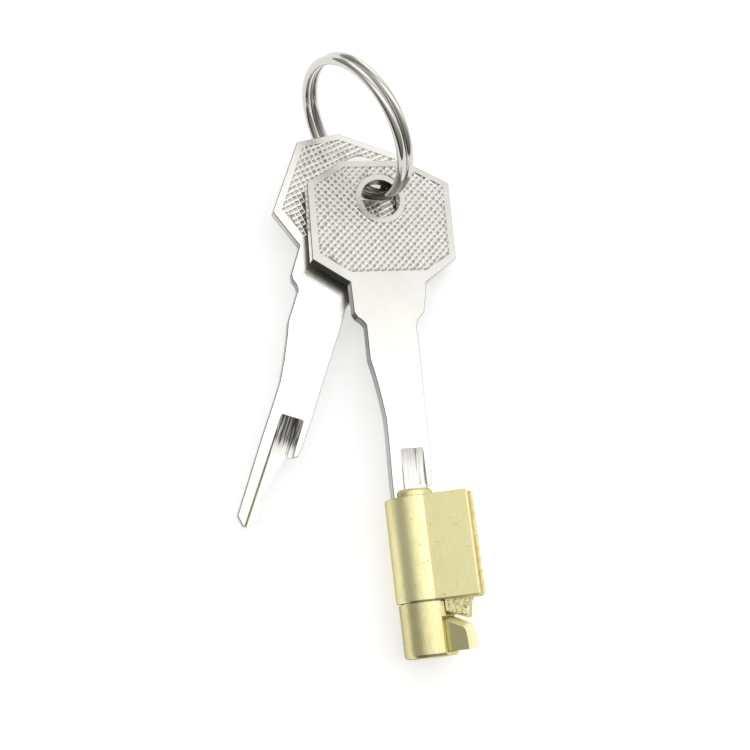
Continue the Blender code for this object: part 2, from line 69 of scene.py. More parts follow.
JOINTS = {joint["name"]: joint for joint in frame["joints"]}
LOCK_PLACE = Vector(JOINTS["plug_turn"]["pos_m"])
LOCK_AXIS = Vector(JOINTS["plug_turn"]["axis"]).normalized()
FIN_AXIS = Vector(JOINTS["driver_1_slide"]["axis"]).normalized()
FIN_NORMAL = FIN_AXIS.cross(LOCK_AXIS).normalized()
KEY_SIDE = Vector(JOINTS["key_pin_1_slide"]["axis"]).normalized()
KEY_NORMAL = KEY_SIDE.cross(LOCK_AXIS).normalized()
RING_PLACE = Vector(JOINTS["ring_turn"]["pos_m"])
RING_AXIS = Vector(JOINTS["ring_turn"]["axis"]).normalized()
SPARE_PLACE = Vector(JOINTS["spare_swing"]["pos_m"])

# The same sizes as in the CAD model.
KEY_HOLE = (0.45 * MM, 52.0 * MM)
KEY_FACE = 1.1 * MM
KEY_TO_HOOK_TURN = math.radians(-42.9)
SPARE_YAW = math.radians(-21.54)
SPARE_ROLL = math.radians(13.55)


def axes_matrix(x_axis, y_axis, z_axis, place):
    """Return the matrix with these axes as columns."""
    turn = Matrix((x_axis, y_axis, z_axis)).transposed().to_4x4()
    return Matrix.Translation(place) @ turn


HOOK_NORMAL = Matrix.Rotation(KEY_TO_HOOK_TURN, 3, LOCK_AXIS) @ KEY_NORMAL
KEY_MATRIX = axes_matrix(
    KEY_SIDE, LOCK_AXIS, KEY_NORMAL, LOCK_PLACE + KEY_SIDE * KEY_HOLE[0] + LOCK_AXIS * KEY_HOLE[1])
SPARE_MATRIX = (Matrix.Translation(SPARE_PLACE) @ Matrix.Rotation(SPARE_YAW, 4, "Z")
                @ Matrix.Rotation(SPARE_ROLL, 4, "Y"))
FIN_MATRIX = axes_matrix(FIN_AXIS, LOCK_AXIS, FIN_NORMAL, LOCK_PLACE)

# ---- Camera ------------------------------------------------------------------

CAMERA_PLACE = Vector((-1.364, -51.170, 193.939)) * MM
CAMERA_PITCH = 0.2525
CAMERA_TURN = -0.1146
CAMERA_LENS = 55.71
CAMERA_NEAR = 5 * MM
CAMERA_FAR = 10.0
SENSOR_WIDTH = 36.0


def make_camera():
    """Look down on the lock, a little from the tail's side."""
    data = bpy.data.cameras.new("camera")
    data.lens = CAMERA_LENS
    data.sensor_width = SENSOR_WIDTH
    data.clip_start = CAMERA_NEAR
    data.clip_end = CAMERA_FAR
    camera = bpy.data.objects.new("camera", data)
    bpy.context.scene.collection.objects.link(camera)
    camera.matrix_world = (
        Matrix.Translation(CAMERA_PLACE)
        @ Matrix.Rotation(CAMERA_TURN, 4, "Z")
        @ Matrix.Rotation(CAMERA_PITCH, 4, "X"))
    bpy.context.scene.camera = camera


# ---- Node helpers ------------------------------------------------------------

def opaque(colour):
    """Add the alpha to a plain colour, and leave a socket as it is."""
    return (*colour, 1.0) if isinstance(colour, tuple) else colour


class Recipe:
    """A material under construction, with short ways to add nodes."""

    def __init__(self, name):
        self.material = bpy.data.materials.new(name)
        self.material.use_nodes = True
        self.tree = self.material.node_tree
        self.shader = self.tree.nodes["Principled BSDF"]

    def add(self, kind, **settings):
        """Add a node and set its properties."""
        node = self.tree.nodes.new(kind)
        for key, value in settings.items():
            setattr(node, key, value)
        return node

    def feed(self, socket, value):
        """Set a socket to a number or colour, or link it."""
        if isinstance(value, bpy.types.NodeSocket):
            self.tree.links.new(value, socket)
        else:
            socket.default_value = value

    def maths(self, operation, first, second=0.0):
        """Add a Math node and return its result."""
        node = self.add("ShaderNodeMath", operation=operation)
        self.feed(node.inputs[0], first)
        self.feed(node.inputs[1], second)
        return node.outputs[0]

    def place(self):
        """Return the position of the surface, in metres."""
        return self.add("ShaderNodeTexCoord").outputs["Object"]

    def along(self, position, direction, origin=(0.0, 0.0, 0.0)):
        """Return how far a position lies along a direction from an origin."""
        offset = self.add("ShaderNodeVectorMath", operation="SUBTRACT")
        self.feed(offset.inputs[0], position)
        offset.inputs[1].default_value = origin
        dot = self.add("ShaderNodeVectorMath", operation="DOT_PRODUCT")
        self.feed(dot.inputs[0], offset.outputs[0])
        dot.inputs[1].default_value = direction
        return dot.outputs["Value"]

    def local(self, matrix):
        """Return the position in the frame of a matrix, in millimetres."""
        position = self.place()
        columns = matrix.to_3x3().transposed()
        joined = self.add("ShaderNodeCombineXYZ")
        for number in range(3):
            distance = self.along(position, columns[number], matrix.translation)
            self.feed(joined.inputs[number], self.maths("MULTIPLY", distance, 1.0 / MM))
        return joined.outputs[0]

    def split(self, vector):
        """Return the X, Y and Z of a vector."""
        node = self.add("ShaderNodeSeparateXYZ")
        self.feed(node.inputs[0], vector)
        return node.outputs["X"], node.outputs["Y"], node.outputs["Z"]

    def facing(self, direction):
        """Return how much the surface faces a direction, from -1 to 1."""
        normal = self.add("ShaderNodeTexCoord").outputs["Normal"]
        return self.along(normal, direction)

    def noise(self, vector, scale, detail=4.0, roughness=0.5, stretch=(1.0, 1.0, 1.0)):
        """Return noise over a vector, stretched per axis."""
        mapping = self.add("ShaderNodeVectorMath", operation="MULTIPLY")
        self.feed(mapping.inputs[0], vector)
        mapping.inputs[1].default_value = stretch
        node = self.add("ShaderNodeTexNoise")
        self.feed(node.inputs["Vector"], mapping.outputs[0])
        node.inputs["Scale"].default_value = scale
        node.inputs["Detail"].default_value = detail
        node.inputs["Roughness"].default_value = roughness
        return node.outputs["Fac"]

    def ramp(self, value, span, result=(0.0, 1.0)):
        """Map a value's span to the two ends of the result, smoothly and clamped."""
        node = self.add("ShaderNodeMapRange", interpolation_type="SMOOTHSTEP")
        self.feed(node.inputs["Value"], value)
        node.inputs["From Min"].default_value = span[0]
        node.inputs["From Max"].default_value = span[1]
        node.inputs["To Min"].default_value = result[0]
        node.inputs["To Max"].default_value = result[1]
        return node.outputs["Result"]

    def mix(self, factor, first, second):
        """Mix two colours."""
        node = self.add("ShaderNodeMix", data_type="RGBA")
        self.feed(node.inputs["Factor"], factor)
        self.feed(node.inputs["A"], opaque(first))
        self.feed(node.inputs["B"], opaque(second))
        return node.outputs["Result"]

    def blend(self, factor, first, second):
        """Mix two numbers."""
        node = self.add("ShaderNodeMix", data_type="FLOAT")
        self.feed(node.inputs[0], factor)
        self.feed(node.inputs[2], first)
        self.feed(node.inputs[3], second)
        return node.outputs[0]

    def layered(self, base, extra, share):
        """Add a share of an extra height to a base height."""
        return self.maths("ADD", base, self.maths("MULTIPLY", extra, share))

    def bump(self, height, distance, strength=1.0):
        """Return a bumped normal for a height in units of distance, in metres."""
        node = self.add("ShaderNodeBump")
        self.feed(node.inputs["Height"], height)
        node.inputs["Distance"].default_value = distance
        node.inputs["Strength"].default_value = strength
        return node.outputs["Normal"]

    def metal(self, colour, roughness, normal=None, edge_tint=1.0):
        """Finish the shader as a metal, darker at grazing angles where the tint is below 1."""
        self.shader.inputs["Specular Tint"].default_value = (edge_tint, edge_tint, edge_tint, 1.0)
        self.feed(self.shader.inputs["Base Color"], opaque(colour))
        self.shader.inputs["Metallic"].default_value = 1.0
        self.feed(self.shader.inputs["Roughness"], roughness)
        if normal is not None:
            self.feed(self.shader.inputs["Normal"], normal)
        return self.material


# ---- Colours -----------------------------------------------------------------

BRASS = (0.90, 0.835, 0.47)
BRASS_DEEP = (0.85, 0.77, 0.38)
BRASS_PIT = (0.42, 0.33, 0.13)
TURNED = (0.76, 0.70, 0.38)
TURNED_DEEP = (0.70, 0.62, 0.29)
TORN = (0.55, 0.40, 0.15)
# Painted shade, orange-brown, on the cover strip beside the fin.
STRIP_GAP_PAINTED_SHADE = (0.74, 0.48, 0.16)
FILED = (1.0, 0.96, 0.62)
PIN_BRASS = (0.78, 0.62, 0.32)
PIN_STEEL = (0.5, 0.5, 0.52)
NICKEL = (0.70, 0.69, 0.655)
NICKEL_WARM = (0.66, 0.64, 0.59)
# Cut edges of the keys: painted shade, greyer than the faces and deeper towards the bow.
NICKEL_EDGE_PAINTED_SHADE = (0.42, 0.42, 0.40)
NICKEL_EDGE_DEEP_PAINTED_SHADE = (0.22, 0.21, 0.20)
# Bow edges: painted shade, grey, and painted light, near white, on the edges facing left.
NICKEL_BOW_EDGE_PAINTED_SHADE = (0.52, 0.50, 0.46)
NICKEL_BOW_EDGE_PAINTED_LIGHT = (0.95, 0.90, 0.82)
# Painted shade and reflection, nearly black, on the front bow's edges facing down and left, towards the
# gap over the spare key.
NICKEL_PAINTED_DEEP_SHADE = (0.03, 0.03, 0.03)
# Painted shade in the pits of the knurling.
NICKEL_PIT_PAINTED_SHADE = (0.42, 0.40, 0.36)
# Painted shade on the slope along each key's groove.
NICKEL_GROOVE_PAINTED_SHADE = (0.44, 0.42, 0.37)
NICKEL_WIRE = (0.66, 0.645, 0.60)
# Painted shade and reflection on the pocket's floor.
POCKET_PAINTED_SHADE = (0.05, 0.045, 0.04)
FLOOR_WHITE = (0.9, 0.9, 0.9)
FLOOR_GLOW_COLOUR = (1.0, 1.0, 1.0)

# ---- Brass -------------------------------------------------------------------

# The middle part of a noise, where most of its values lie.
NOISE_MIDDLE = (0.3, 0.7)
# A surface of brass darkens to this tint at grazing angles.
BRASS_EDGE_TINT = 0.45

# Distance from the axis, in millimetres, where the barrel's finish turns into the fin's.
FIN_START = (1.9, 2.6)
FIN_ROUGHNESS = (0.38, 0.50)
BARREL_ROUGHNESS = (0.28, 0.38)
# How much of the fin's grain shows on the barrel and on the fin.
GRAIN_SHARE = (0.35, 1.0)
CAST_STREAK_SHARE = 0.6
CAST_PIT_SPAN = (0.68, 0.76)
CAST_PIT_TINT = 0.5
CAST_PIT_DEPTH = 1.5
CAST_RELIEF = 0.03 * MM
CAST_RELIEF_STRENGTH = 0.9


def body_brass():
    """Cast brass: blasted and pitted on the fin, smoother on the turned barrel."""
    recipe = Recipe("body_brass")
    spot = recipe.local(FIN_MATRIX)
    outward, _, _ = recipe.split(spot)
    on_fin = recipe.ramp(outward, FIN_START)
    cloud = recipe.noise(spot, scale=0.45, detail=3.0)
    grain = recipe.noise(spot, scale=6.0, detail=4.0, roughness=0.6)
    pits = recipe.noise(spot, scale=1.7, detail=2.0)
    streak = recipe.noise(spot, scale=1.0, detail=3.0, roughness=0.6, stretch=(3.5, 0.5, 3.5))
    pit_mask = recipe.ramp(pits, CAST_PIT_SPAN)
    colour = recipe.mix(recipe.ramp(cloud, NOISE_MIDDLE, (0.0, 0.45)), BRASS, BRASS_DEEP)
    colour = recipe.mix(recipe.maths("MULTIPLY", pit_mask, CAST_PIT_TINT), colour, BRASS_PIT)
    fin_rough = recipe.ramp(grain, NOISE_MIDDLE, FIN_ROUGHNESS)
    barrel_rough = recipe.ramp(streak, NOISE_MIDDLE, BARREL_ROUGHNESS)
    rough = recipe.blend(on_fin, barrel_rough, fin_rough)
    grain_height = recipe.maths("MULTIPLY", grain, recipe.ramp(on_fin, (0.0, 1.0), GRAIN_SHARE))
    height = recipe.layered(grain_height, pit_mask, -CAST_PIT_DEPTH)
    height = recipe.layered(height, streak, CAST_STREAK_SHARE)
    relief = recipe.bump(height, CAST_RELIEF, CAST_RELIEF_STRENGTH)
    return recipe.metal(colour, rough, relief, BRASS_EDGE_TINT)


TURNED_ROUGHNESS = (0.20, 0.36)
TURNED_STREAK_SPAN = (0.25, 0.75)
STAIN_SPAN = (0.35, 0.7)
LATHE_SHARE = 0.4
TURNED_RELIEF = 0.018 * MM
TURNED_RELIEF_STRENGTH = 0.9


def turned_brass():
    """Smooth machined brass of the plug and its tail."""
    recipe = Recipe("turned_brass")
    spot = recipe.local(FIN_MATRIX)
    streak = recipe.noise(spot, scale=1.3, detail=4.0, roughness=0.6, stretch=(3.0, 0.6, 3.0))
    lathe = recipe.noise(spot, scale=9.0, detail=2.0, stretch=(0.05, 1.0, 0.05))
    stain = recipe.noise(spot, scale=0.6, detail=4.0, roughness=0.6)
    colour = recipe.mix(recipe.ramp(stain, STAIN_SPAN, (0.0, 0.5)), TURNED, TURNED_DEEP)
    rough = recipe.ramp(streak, TURNED_STREAK_SPAN, TURNED_ROUGHNESS)
    height = recipe.layered(streak, lathe, LATHE_SHARE)
    relief = recipe.bump(height, TURNED_RELIEF, TURNED_RELIEF_STRENGTH)
    return recipe.metal(colour, rough, relief, BRASS_EDGE_TINT)


# How squarely a surface faces the hook's front, from its slopes to its face.
HOOK_FACE_SPAN = (0.85, 0.95)
# Roughness of the hook's slopes and of its face.
HOOK_ROUGHNESS = (0.62, 0.28)
HOOK_RELIEF = 0.015 * MM
HOOK_RELIEF_STRENGTH = 0.8


def hook_brass():
    """Brass of the hook: a smooth front face, with paler, filed slopes around it."""
    recipe = Recipe("hook_brass")
    spot = recipe.local(FIN_MATRIX)
    stain = recipe.noise(spot, scale=0.8, detail=4.0, roughness=0.6)
    fine = recipe.noise(spot, scale=7.0, detail=3.0, roughness=0.6)
    front = recipe.ramp(recipe.facing(HOOK_NORMAL), HOOK_FACE_SPAN)
    face = recipe.mix(recipe.ramp(stain, STAIN_SPAN, (0.0, 0.6)), TURNED, TURNED_DEEP)
    colour = recipe.mix(front, FILED, face)
    rough = recipe.ramp(front, (0.0, 1.0), HOOK_ROUGHNESS)
    return recipe.metal(colour, rough, recipe.bump(fine, HOOK_RELIEF, HOOK_RELIEF_STRENGTH))


TORN_SPAN = (0.28, 0.41)
TORN_ROUGHNESS = (0.3, 0.5)
TORN_FINE_SHARE = 0.35
TORN_RELIEF = 0.05 * MM
# The painted shade's border wanders by this share of the noise and fades over this half width.
PAINTED_SHADE_WANDER = 0.15
PAINTED_SHADE_FADE = 0.08
# Distance from the axis, in millimetres, at which the painted shade, orange-brown, on the cover strip
# ends.
STRIP_PAINTED_SHADE_END = 9.42


def rough_brass(name, painted_shade_end=None):
    """Raw, torn brass; with painted shade, orange-brown, up to a distance from the axis where one is
    given.
    """
    recipe = Recipe(name)
    spot = recipe.local(FIN_MATRIX)
    lumps = recipe.noise(spot, scale=2.2, detail=5.0, roughness=0.65)
    fine = recipe.noise(spot, scale=9.0, detail=3.0, roughness=0.6)
    colour = recipe.mix(recipe.ramp(lumps, TORN_SPAN), TORN, BRASS)
    if painted_shade_end is not None:
        outward, _, _ = recipe.split(spot)
        outward = recipe.layered(outward, lumps, PAINTED_SHADE_WANDER)
        past_shade = recipe.ramp(outward, (painted_shade_end - PAINTED_SHADE_FADE, painted_shade_end + PAINTED_SHADE_FADE))
        colour = recipe.mix(past_shade, STRIP_GAP_PAINTED_SHADE, colour)
    rough = recipe.ramp(fine, NOISE_MIDDLE, TORN_ROUGHNESS)
    height = recipe.layered(lumps, fine, TORN_FINE_SHARE)
    return recipe.metal(colour, rough, recipe.bump(height, TORN_RELIEF))


# ---- Nickel ------------------------------------------------------------------

# Places along a key, in millimetres from the middle of its hole; the tip is at the low end.
BOW_START = (-14.5, -13.6)
BOW_EDGE_START = (-17.0, -12.5)
PAINTED_SHADE_EDGE_START = (-17.0, -15.0)
# Where the painted shade on the cut edges deepens, from the tip towards the bow.
EDGE_SHADE_DEEPENS_SPAN = (-44.0, -21.0)
# Height over the middle of a key, in millimetres, from the bottom of the pits to their rims.
PIT_SPAN = (0.935, 1.01)
# How squarely a surface faces a direction, from not at all to fully.
KEY_FLAT_SPAN = (0.58, 0.95)
PAINTED_LIGHT_FACING_SPAN = (0.80, 0.96)
PAINTED_SHADE_FACING_SPAN = (0.80, 0.92)

PIT_PAINTED_SHADE = 0.9
NICKEL_ROUGHNESS = (0.16, 0.27)
SCRATCH_SHARE = 0.5
NICKEL_RELIEF = 0.006 * MM
NICKEL_RELIEF_STRENGTH = 0.8


def key_face_colour(recipe, spot, along_key, height):
    """Return the colour of a key's flat faces, with painted shade in the pits of its bow."""
    cloud = recipe.noise(spot, scale=0.25, detail=3.0)
    colour = recipe.mix(recipe.ramp(cloud, STAIN_SPAN, (0.0, 0.6)), NICKEL, NICKEL_WARM)
    on_bow = recipe.ramp(along_key, BOW_START)
    depth = recipe.ramp(recipe.maths("ABSOLUTE", height), PIT_SPAN, (PIT_PAINTED_SHADE, 0.0))
    return recipe.mix(recipe.maths("MULTIPLY", depth, on_bow), colour, NICKEL_PIT_PAINTED_SHADE)


def key_edge_painted_light_and_shade(recipe, along_key, key_side, painted_shade_side):
    """Return the painted light and shade on a key's cut edges: grey, deeper towards the bow, near white on
    the bow's edges facing left, and nearly black on the bow's edges facing the given side.
    """
    # Painted shade: grey on all cut edges, deeper towards the bow.
    edge = recipe.mix(recipe.ramp(along_key, EDGE_SHADE_DEEPENS_SPAN), NICKEL_EDGE_PAINTED_SHADE, NICKEL_EDGE_DEEP_PAINTED_SHADE)
    # Painted light on the bow's edges facing left, painted shade on its other edges.
    lit = recipe.ramp(recipe.facing(-key_side), PAINTED_LIGHT_FACING_SPAN)
    bow_edge = recipe.mix(lit, NICKEL_BOW_EDGE_PAINTED_SHADE, NICKEL_BOW_EDGE_PAINTED_LIGHT)
    edge = recipe.mix(recipe.ramp(along_key, BOW_EDGE_START), edge, bow_edge)
    if painted_shade_side is None:
        return edge
    # Painted shade and reflection, nearly black, on the bow's edges facing the given side.
    shaded = recipe.ramp(recipe.facing(painted_shade_side), PAINTED_SHADE_FACING_SPAN)
    shaded = recipe.maths("MULTIPLY", shaded, recipe.ramp(along_key, PAINTED_SHADE_EDGE_START))
    return recipe.mix(shaded, edge, NICKEL_PAINTED_DEEP_SHADE)


def key_nickel(name, matrix, painted_shade_side=None):
    """Satin nickel of a key: brushed lengthwise, with a few scratches across, and with painted light and
    shade on its cut edges.
    """
    recipe = Recipe(name)
    spot = recipe.local(matrix)
    _, along_key, height = recipe.split(spot)
    side, _, normal = matrix.to_3x3().transposed()
    face = key_face_colour(recipe, spot, along_key, height)
    edge = key_edge_painted_light_and_shade(recipe, along_key, side, painted_shade_side)
    flat = recipe.maths("ABSOLUTE", recipe.facing(normal))
    colour = recipe.mix(recipe.ramp(flat, KEY_FLAT_SPAN, (1.0, 0.0)), face, edge)
    brushed = recipe.noise(spot, scale=2.0, detail=4.0, roughness=0.6, stretch=(6.0, 0.25, 1.0))
    scratch = recipe.noise(spot, scale=3.0, detail=2.0, stretch=(0.4, 5.0, 1.0))
    rough = recipe.ramp(brushed, NOISE_MIDDLE, NICKEL_ROUGHNESS)
    relief = recipe.layered(brushed, scratch, SCRATCH_SHARE)
    return recipe.metal(colour, rough, recipe.bump(relief, NICKEL_RELIEF, NICKEL_RELIEF_STRENGTH))


# Places along a key, in millimetres from the middle of its hole: where the painted shade grows
# towards the pocket's top end, and the pocket's low end, which stays free of it.
POCKET_SHADE_SPAN = (-50.4, -47.2)
POCKET_UNSHADED_SPAN = (-50.8, -50.0)
POCKET_SHADE_LEAST = 0.12
POCKET_STREAK_MIDDLE = 0.5
POCKET_STREAK_CONTRAST = 2.8
POCKET_PAINTED_SHADE_SPAN = (0.10, 0.9)
POCKET_ROUGHNESS = 0.28
POCKET_RELIEF = 0.03 * MM
POCKET_RELIEF_STRENGTH = 0.8


def milled_nickel(name, matrix, depth_of_shade):
    """Milled floor of a key's pocket: painted shade and reflection in streaks that fade away from its top
    end.
    """
    recipe = Recipe(name)
    spot = recipe.local(matrix)
    _, along_key, _ = recipe.split(spot)
    streak = recipe.noise(spot, scale=1.0, detail=3.0, roughness=0.6, stretch=(3.6, 0.12, 0.4))
    shade = recipe.ramp(along_key, POCKET_SHADE_SPAN, (POCKET_SHADE_LEAST, depth_of_shade))
    streaks = recipe.maths("SUBTRACT", streak, POCKET_STREAK_MIDDLE)
    dark = recipe.ramp(recipe.layered(shade, streaks, POCKET_STREAK_CONTRAST), POCKET_PAINTED_SHADE_SPAN)
    dark = recipe.maths("MULTIPLY", dark, recipe.ramp(along_key, POCKET_UNSHADED_SPAN))
    colour = recipe.mix(dark, NICKEL, POCKET_PAINTED_SHADE)
    relief = recipe.bump(streak, POCKET_RELIEF, POCKET_RELIEF_STRENGTH)
    return recipe.metal(colour, POCKET_ROUGHNESS, relief)


# ---- Wire and small parts ----------------------------------------------------

GROOVE_ROUGHNESS = (0.3, 0.4)
WIRE_ROUGHNESS = (0.07, 0.15)
WIRE_RELIEF = 0.006 * MM
WIRE_RELIEF_STRENGTH = 0.4
PIN_ROUGHNESS = (0.2, 0.35)


def grained_metal(name, colour, scale, roughness):
    """A metal of one colour whose roughness follows a fine grain."""
    recipe = Recipe(name)
    fine = recipe.noise(recipe.place(), scale, detail=2.0)
    return recipe.metal(colour, recipe.ramp(fine, NOISE_MIDDLE, roughness))


def groove_edge_nickel():
    """Dull slope along the key's groove, in a darker nickel: painted shade."""
    return grained_metal("groove_edge", NICKEL_GROOVE_PAINTED_SHADE, 900.0, GROOVE_ROUGHNESS)


def pin_steel():
    """Grey drawn steel of the springs and the retaining pin."""
    return grained_metal("pin_steel", PIN_STEEL, 1500.0, PIN_ROUGHNESS)


def pin_brass():
    """Turned brass of the lock's pins."""
    return grained_metal("pin_brass", PIN_BRASS, 1200.0, PIN_ROUGHNESS)


def ring_nickel():
    """Bright plated wire with a faint, uneven dullness."""
    recipe = Recipe("ring_nickel")
    dull = recipe.noise(recipe.place(), scale=250.0, detail=3.0)
    rough = recipe.ramp(dull, NOISE_MIDDLE, WIRE_ROUGHNESS)
    return recipe.metal(NICKEL_WIRE, rough, recipe.bump(dull, WIRE_RELIEF, WIRE_RELIEF_STRENGTH))


FLOOR_ROUGHNESS = 0.8
FLOOR_GLOW = 0.42


def white_floor():
    """Matt white table top with a faint glow of its own, which softens the shadows."""
    recipe = Recipe("white_floor")
    recipe.shader.inputs["Base Color"].default_value = opaque(FLOOR_WHITE)
    recipe.shader.inputs["Roughness"].default_value = FLOOR_ROUGHNESS
    recipe.shader.inputs["Emission Color"].default_value = opaque(FLOOR_GLOW_COLOUR)
    recipe.shader.inputs["Emission Strength"].default_value = FLOOR_GLOW
    return recipe.material


# ---- Light and floor ---------------------------------------------------------

# Brightness of the studio by angle from straight up, in degrees; positive is to the right.
SKY_ACROSS = (
    (-90, 0.50), (-74, 0.42), (-62, 0.41), (-42, 0.47), (-18, 1.2), (0, 1.4),
    (25, 1.7), (50, 1.6), (66, 1.2), (78, 0.9), (90, 0.8),
)
# The same along the lock's length, by the sine of the angle; positive is towards the bows.
SKY_ALONG = (
    (-1.0, 0.12), (-0.6, 0.26), (-0.3, 0.42), (-0.1, 0.9), (0.02, 1.0), (0.17, 1.25),
    (0.23, 0.93), (0.28, 0.67), (0.37, 0.58), (0.55, 0.56), (0.8, 1.0), (1.0, 1.0),
)
# A colour ramp holds levels up to 1, so each level is divided by this, once for each direction.
SKY_DIVISOR = 2
SKY_STRENGTH = 4.0
FLOOR_HALF_SIZE = 1.5
FLOOR_GAP = 0.02 * MM


def sky_ramp(tree, value, stops, low, high):
    """Map a value through (place, level) stops that run from low to high."""
    spread = tree.nodes.new("ShaderNodeMapRange")
    spread.inputs["From Min"].default_value = low
    spread.inputs["From Max"].default_value = high
    tree.links.new(value, spread.inputs["Value"])
    ramp = tree.nodes.new("ShaderNodeValToRGB")
    elements = ramp.color_ramp.elements
    while len(elements) < len(stops):
        elements.new(0.5)
    for element, (place, level) in zip(elements, stops):
        stored = level / SKY_DIVISOR
        element.position = (place - low) / (high - low)
        element.color = (stored, stored, stored, 1.0)
    tree.links.new(spread.outputs["Result"], ramp.inputs["Fac"])
    return ramp.outputs["Color"]


def make_world():
    """A soft studio: bright overhead and to the right, dim low down and at the tail's end."""
    world = bpy.data.worlds.new("studio")
    bpy.context.scene.world = world
    world.use_nodes = True
    tree = world.node_tree
    tree.nodes.clear()
    coordinates = tree.nodes.new("ShaderNodeTexCoord")
    parts = tree.nodes.new("ShaderNodeSeparateXYZ")
    tree.links.new(coordinates.outputs["Generated"], parts.inputs[0])
    angle = tree.nodes.new("ShaderNodeMath")
    angle.operation = "ARCTAN2"
    tree.links.new(parts.outputs["X"], angle.inputs[0])
    tree.links.new(parts.outputs["Z"], angle.inputs[1])
    across_stops = [(math.radians(place), level) for place, level in SKY_ACROSS]
    across = sky_ramp(tree, angle.outputs[0], across_stops, -math.pi / 2, math.pi / 2)
    along = sky_ramp(tree, parts.outputs["Y"], SKY_ALONG, -1.0, 1.0)
    product = tree.nodes.new("ShaderNodeVectorMath")
    product.operation = "MULTIPLY"
    tree.links.new(across, product.inputs[0])
    tree.links.new(along, product.inputs[1])
    back = tree.nodes.new("ShaderNodeBackground")
    output = tree.nodes.new("ShaderNodeOutputWorld")
    tree.links.new(product.outputs["Vector"], back.inputs["Color"])
    tree.links.new(back.outputs["Background"], output.inputs["Surface"])
    back.inputs["Strength"].default_value = SKY_STRENGTH


def finished_mesh(shape, name):
    """Turn a bmesh into a mesh and free it."""
    mesh = bpy.data.meshes.new(name)
    shape.to_mesh(mesh)
    shape.free()
    return mesh


def make_floor(material):
    """A wide white plane under the object."""
    shape = bmesh.new()
    bmesh.ops.create_grid(shape, x_segments=1, y_segments=1, size=FLOOR_HALF_SIZE)
    mesh = finished_mesh(shape, "floor")
    floor = bpy.data.objects.new("floor", mesh)
    bpy.context.scene.collection.objects.link(floor)
    floor.location.z = CAD_BOX[0][2] - FLOOR_GAP
    mesh.materials.append(material)


# ---- Pieces with real relief -------------------------------------------------

# Faces that meet at more than this angle keep a sharp edge.
SHARP_ANGLE = math.radians(35)


def new_piece(name, mesh, matrix, material, body):
    """Add a piece whose mesh is given in the frame of a matrix, in metres."""
    mesh.transform(matrix)
    mesh.name = name
    mesh.shade_smooth()
    mesh.set_sharp_from_angle(angle=SHARP_ANGLE)
    mesh.materials.append(material)
    item = bpy.data.objects.new(name, mesh)
    bpy.context.scene.collection.objects.link(item)
    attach(item, body)
    return item


def thickened(mesh, thickness):
    """Turn a sheet into a thin closed body that grows downwards."""
    item = bpy.data.objects.new("sheet", mesh)
    bpy.context.scene.collection.objects.link(item)
    modifier = item.modifiers.new("thickness", "SOLIDIFY")
    modifier.thickness = thickness
    modifier.offset = -1.0
    graph = bpy.context.evaluated_depsgraph_get()
    graph.update()
    result = bpy.data.meshes.new_from_object(item.evaluated_get(graph))
    bpy.data.objects.remove(item, do_unlink=True)
    return result


def noise_at(*place):
    """Return mesh noise, from about -1 to 1, at a place given as three numbers."""
    return noise.noise(Vector(place))


# ---- Knurling on the bows ----------------------------------------------------

KNURL_PITCH = 0.906 * MM
KNURL_TOP = 1.075 * MM
KNURL_CROWN = 0.015 * MM
KNURL_BOTTOM = 0.93 * MM
KNURL_WOBBLE = 0.02 * MM
KNURL_WOBBLE_STEP = 0.9
KNURL_RIDGE = 0.18 * MM
KNURL_CROSS_RIDGE = 0.06 * MM
KNURL_SLOPE = 0.16 * MM
KNURL_RIM = 4.3 * MM
KNURL_REACH = 22 * MM
KNURL_WELD = 0.002 * MM
SKIN = 0.05 * MM
DIAGONAL = math.sqrt(2)
# The field's outline counted from the middle of the hole, in millimetres.
FIELD = (
    (-6.75, -13.2), (-11.85, -9.8), (-11.55, 2.4), (-5.95, 5.9),
    (4.75, 6.0), (11.65, 2.3), (11.25, -10.4), (6.75, -13.2),
)
CORNER_SIGNS = ((-1, -1), (1, -1), (1, 1), (-1, 1))


def in_field(x, y):
    """Say whether a spot lies in the field and outside the rim of the hole."""
    if math.hypot(x, y) < KNURL_RIM:
        return False
    inside = False
    corners = [(a * MM, b * MM) for a, b in FIELD]
    for (ax, ay), (bx, by) in zip(corners, corners[1:] + corners[:1]):
        if (ay > y) != (by > y) and x < ax + (bx - ax) * (y - ay) / (by - ay):
            inside = not inside
    return inside


def knurl_mesh(side, seed):
    """A field of oblong pits between crossed ridges, at 45 degrees to the key."""
    shape = bmesh.new()
    reach = int(KNURL_REACH / KNURL_PITCH)
    for row in range(-reach, reach):
        for column in range(-reach, reach):
            middle_u = (row + 0.5) * KNURL_PITCH
            middle_v = (column + 0.5) * KNURL_PITCH
            if in_field((middle_u + middle_v) / DIAGONAL, (middle_u - middle_v) / DIAGONAL):
                wobble = noise_at(row * KNURL_WOBBLE_STEP, column * KNURL_WOBBLE_STEP, seed)
                add_pit(shape, middle_u, middle_v, wobble)
    bmesh.ops.remove_doubles(shape, verts=shape.verts, dist=KNURL_WELD)
    if side < 0:
        bmesh.ops.scale(shape, vec=(1, 1, -1), verts=shape.verts)
        bmesh.ops.reverse_faces(shape, faces=shape.faces)
    return thickened(finished_mesh(shape, "knurl"), SKIN)


